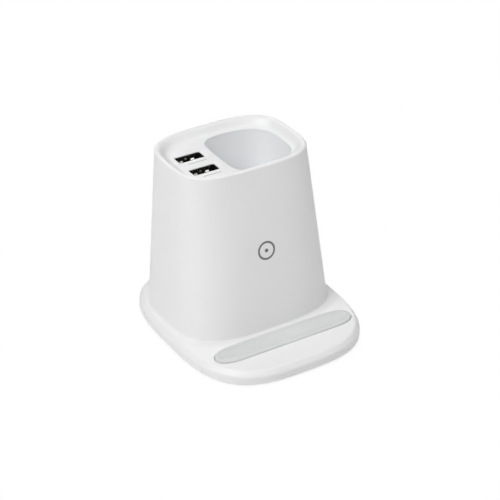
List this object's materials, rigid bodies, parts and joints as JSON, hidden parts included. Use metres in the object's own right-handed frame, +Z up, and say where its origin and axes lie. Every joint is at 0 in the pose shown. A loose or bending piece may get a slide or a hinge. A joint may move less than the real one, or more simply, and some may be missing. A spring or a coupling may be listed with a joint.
{
  "type": "pen holder",
  "caption": "White desk pen holder with a deep pen well, upright charging ports in its top, and a leaning front wall with a grip ledge and a coil for wireless phone charging.",
  "frame": {"origin": "on the table surface under the middle of the base", "axes": "+Z up, -Y towards the front, where the phone leans, +X towards the pen well; the charging ports are on the -X side"},
  "size_m": [0.0914, 0.1072, 0.0892],
  "materials": {
    "housing_shell": "white moulded plastic, satin",
    "insert_shell": "white moulded plastic, satin",
    "cover_plastic": "white moulded plastic, matt",
    "silicone": "pale grey silicone, matt",
    "foot_rubber": "black rubber, matt",
    "screw_steel": "zinc plated",
    "port_metal": "black nickel plate, satin",
    "port_plastic": "black, satin",
    "contact_gold": "gold plate, bright",
    "circuit_board": "green solder mask, satin",
    "connector_nylon": "natural nylon, satin",
    "ribbon_film": "grey film, satin",
    "inlet_steel": "stainless steel, satin",
    "inlet_plastic": "black, satin",
    "chip_plastic": "black epoxy, matt",
    "inductor_ferrite": "dark grey ferrite, matt",
    "capacitor_can": "bare aluminium can",
    "coil_copper": "lacquered copper wire",
    "ferrite_sheet": "black ferrite, matt",
    "carrier_plastic": "natural plastic, matt",
    "lead_red": "red insulation",
    "lead_white": "white insulation"
  },
  "bodies": {
    "root": {"housing": "housing_shell", "top_insert": "insert_shell", "bottom_cover": "cover_plastic", "grip_pad": "silicone", "foot_1": "foot_rubber", "foot_2": "foot_rubber", "foot_3": "foot_rubber", "foot_4": "foot_rubber", "cover_screw_1": "screw_steel", "cover_screw_2": "screw_steel", "cover_screw_3": "screw_steel", "cover_screw_4": "screw_steel", "port_1_shell": "port_metal", "port_1_tongue": "port_plastic", "port_1_contact_1": "contact_gold", "port_1_contact_2": "contact_gold", "port_1_contact_3": "contact_gold", "port_1_contact_4": "contact_gold", "port_2_shell": "port_metal", "port_2_tongue": "port_plastic", "port_2_contact_1": "contact_gold", "port_2_contact_2": "contact_gold", "port_2_contact_3": "contact_gold", "port_2_contact_4": "contact_gold", "port_board": "circuit_board", "port_board_screw_1": "screw_steel", "port_board_screw_2": "screw_steel", "port_plug": "connector_nylon", "main_board": "circuit_board", "main_board_screw_1": "screw_steel", "main_board_screw_2": "screw_steel", "main_board_screw_3": "screw_steel", "main_board_screw_4": "screw_steel", "main_plug": "connector_nylon", "board_ribbon": "ribbon_film", "inlet_shell": "inlet_steel", "inlet_tongue": "inlet_plastic", "power_chip": "chip_plastic", "coil_chip": "chip_plastic", "inductor_1": "inductor_ferrite", "inductor_2": "inductor_ferrite", "capacitor_1": "capacitor_can", "capacitor_2": "capacitor_can", "capacitor_3": "capacitor_can", "charging_coil": "coil_copper", "ferrite_plate": "ferrite_sheet", "coil_carrier": "carrier_plastic", "coil_screw_1": "screw_steel", "coil_screw_2": "screw_steel", "coil_screw_3": "screw_steel", "coil_lead_1": "lead_red", "coil_lead_2": "lead_white"}
  },
  "joints": []
}
